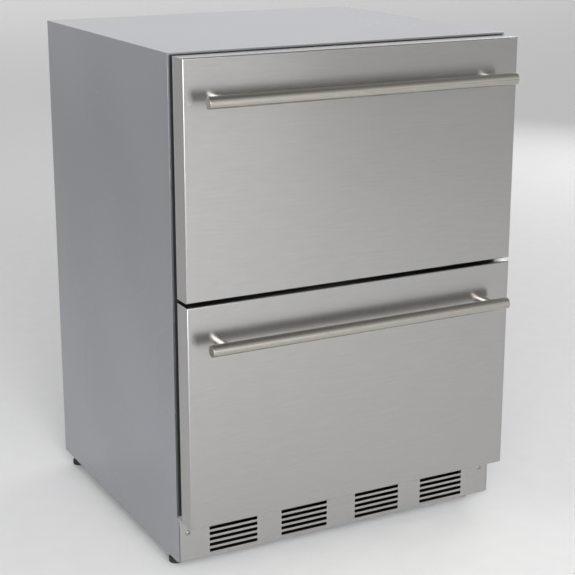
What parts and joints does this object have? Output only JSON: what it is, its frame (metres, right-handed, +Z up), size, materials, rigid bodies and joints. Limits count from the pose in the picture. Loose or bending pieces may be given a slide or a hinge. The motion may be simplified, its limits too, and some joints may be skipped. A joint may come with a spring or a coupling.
{
  "type": "undercounter refrigerator",
  "caption": "Stainless undercounter refrigerator with stacked pull-out drawers on ball-bearing slides, round bar handles, slotted kick plate and levelling feet.",
  "frame": {"origin": "centre of the footprint box (handle bars to cabinet back) on the floor plane the feet stand on", "axes": "+X to the right of a person facing the drawers, +Y to the back of the cabinet, +Z up; drawers open towards -Y"},
  "size_m": [0.602, 0.6205, 0.84],
  "materials": {
    "wrapper_stainless": "satin-brushed stainless wrapper",
    "drawer_stainless": "stainless brushed side to side",
    "handle_stainless": "fine-turned stainless",
    "galvanised_sheet": "galvanised steel sheet",
    "zinc_plated_steel": "bright zinc plate",
    "screw_steel": "plated",
    "polyurethane_foam": "rigid foam",
    "liner_plastic": "moulded light grey",
    "black_plastic": "moulded black",
    "gasket_vinyl": "soft black vinyl",
    "rubber_mount": "moulded",
    "black_enamel": "stoved enamel",
    "copper_tube": "drawn copper",
    "fin_aluminium": "mill finish",
    "lamp_diffuser": "opal",
    "display_window": "tinted",
    "grey_plastic": "moulded grey"
  },
  "bodies": {
    "cabinet": {"left_side_panel": "wrapper_stainless", "right_side_panel": "wrapper_stainless", "top_panel": "wrapper_stainless", "counter_bracket_plates": "zinc_plated_steel", "back_panel": "galvanised_sheet", "machine_cover": "galvanised_sheet", "power_cord_gland": "black_plastic", "panel_screws": "screw_steel", "base_pan": "galvanised_sheet", "insulation_pan": "galvanised_sheet", "kick_plate": "drawer_stainless", "inner_liner": "liner_plastic", "front_frame": "black_plastic", "mullion": "liner_plastic", "interior_lamps": "lamp_diffuser", "control_housing": "black_plastic", "control_display": "display_window", "compressor": "black_enamel", "compressor_mounts": "rubber_mount", "condenser_coil": "copper_tube", "condenser_fan_shroud": "black_plastic", "fan_motors": "black_enamel", "evaporation_tray": "grey_plastic", "electrical_box": "grey_plastic", "refrigerant_lines": "copper_tube", "evaporator_coil": "fin_aluminium", "evaporator_cover": "liner_plastic", "cabinet_foam": "polyurethane_foam", "slide_outer_members": "zinc_plated_steel"},
    "upper_drawer": {"upper_drawer_skin": "drawer_stainless", "upper_drawer_foam": "polyurethane_foam", "upper_inner_panel": "liner_plastic", "upper_gasket": "gasket_vinyl", "upper_handle_bar": "handle_stainless", "upper_handle_posts": "handle_stainless", "upper_tub": "zinc_plated_steel", "upper_slide_inner": "zinc_plated_steel"},
    "upper_slide_middles": {"upper_slide_middle": "zinc_plated_steel"},
    "upper_outer_cages": {"upper_cage_outer": "zinc_plated_steel"},
    "upper_inner_cages": {"upper_cage_inner": "zinc_plated_steel"},
    "lower_drawer": {"lower_drawer_skin": "drawer_stainless", "lower_drawer_foam": "polyurethane_foam", "lower_inner_panel": "liner_plastic", "lower_gasket": "gasket_vinyl", "lower_handle_bar": "handle_stainless", "lower_handle_posts": "handle_stainless", "lower_tub": "zinc_plated_steel", "lower_slide_inner": "zinc_plated_steel"},
    "lower_slide_middles": {"lower_slide_middle": "zinc_plated_steel"},
    "lower_outer_cages": {"lower_cage_outer": "zinc_plated_steel"},
    "lower_inner_cages": {"lower_cage_inner": "zinc_plated_steel"},
    "front_left_foot": {"foot_front_left": "black_plastic"},
    "front_right_foot": {"foot_front_right": "black_plastic"},
    "rear_left_foot": {"foot_rear_left": "black_plastic"},
    "rear_right_foot": {"foot_rear_right": "black_plastic"},
    "condenser_fan": {"condenser_fan_blades": "grey_plastic"},
    "evaporator_fan": {"evaporator_fan_blades": "grey_plastic"},
    "power_button": {"button_power": "grey_plastic"},
    "warmer_button": {"button_warmer": "grey_plastic"},
    "colder_button": {"button_colder": "grey_plastic"}
  },
  "joints": [
    {"name": "upper_drawer_slide", "type": "slide", "parent": "cabinet", "child": "upper_drawer", "axis": [0, -1, 0], "range_m": [0, 0.38]},
    {"name": "upper_middle_slide", "type": "slide", "parent": "cabinet", "child": "upper_slide_middles", "axis": [0, -1, 0], "range_m": [0, 0.19]},
    {"name": "upper_outer_cage_slide", "type": "slide", "parent": "cabinet", "child": "upper_outer_cages", "axis": [0, -1, 0], "range_m": [0, 0.095]},
    {"name": "upper_inner_cage_slide", "type": "slide", "parent": "cabinet", "child": "upper_inner_cages", "axis": [0, -1, 0], "range_m": [0, 0.285]},
    {"name": "lower_drawer_slide", "type": "slide", "parent": "cabinet", "child": "lower_drawer", "axis": [0, -1, 0], "range_m": [0, 0.27]},
    {"name": "lower_middle_slide", "type": "slide", "parent": "cabinet", "child": "lower_slide_middles", "axis": [0, -1, 0], "range_m": [0, 0.135]},
    {"name": "lower_outer_cage_slide", "type": "slide", "parent": "cabinet", "child": "lower_outer_cages", "axis": [0, -1, 0], "range_m": [0, 0.0675]},
    {"name": "lower_inner_cage_slide", "type": "slide", "parent": "cabinet", "child": "lower_inner_cages", "axis": [0, -1, 0], "range_m": [0, 0.2025]},
    {"name": "front_left_foot_height", "type": "slide", "parent": "cabinet", "child": "front_left_foot", "axis": [0, 0, -1], "range_m": [0, 0.02]},
    {"name": "front_right_foot_height", "type": "slide", "parent": "cabinet", "child": "front_right_foot", "axis": [0, 0, -1], "range_m": [0, 0.02]},
    {"name": "rear_left_foot_height", "type": "slide", "parent": "cabinet", "child": "rear_left_foot", "axis": [0, 0, -1], "range_m": [0, 0.02]},
    {"name": "rear_right_foot_height", "type": "slide", "parent": "cabinet", "child": "rear_right_foot", "axis": [0, 0, -1], "range_m": [0, 0.02]},
    {"name": "condenser_fan_spin", "type": "hinge", "parent": "cabinet", "child": "condenser_fan", "pos_m": [0.178, 0.21825, 0.132], "axis": [1, 0, 0], "continuous": true},
    {"name": "evaporator_fan_spin", "type": "hinge", "parent": "cabinet", "child": "evaporator_fan", "pos_m": [0, 0.21525, 0.721], "axis": [0, 1, 0], "continuous": true},
    {"name": "power_button_press", "type": "slide", "parent": "cabinet", "child": "power_button", "axis": [0, 1, 0], "range_m": [0, 0.0008], "stiffness_N_per_m": 400, "springref_m": -0.002},
    {"name": "warmer_button_press", "type": "slide", "parent": "cabinet", "child": "warmer_button", "axis": [0, 1, 0], "range_m": [0, 0.0008], "stiffness_N_per_m": 400, "springref_m": -0.002},
    {"name": "colder_button_press", "type": "slide", "parent": "cabinet", "child": "colder_button", "axis": [0, 1, 0], "range_m": [0, 0.0008], "stiffness_N_per_m": 400, "springref_m": -0.002}
  ],
  "couplings": [
    {"joint": "upper_middle_slide", "follows": "upper_drawer_slide", "ratio": 0.5},
    {"joint": "upper_outer_cage_slide", "follows": "upper_drawer_slide", "ratio": 0.25},
    {"joint": "upper_inner_cage_slide", "follows": "upper_drawer_slide", "ratio": 0.75},
    {"joint": "lower_middle_slide", "follows": "lower_drawer_slide", "ratio": 0.5},
    {"joint": "lower_outer_cage_slide", "follows": "lower_drawer_slide", "ratio": 0.25},
    {"joint": "lower_inner_cage_slide", "follows": "lower_drawer_slide", "ratio": 0.75}
  ]
}
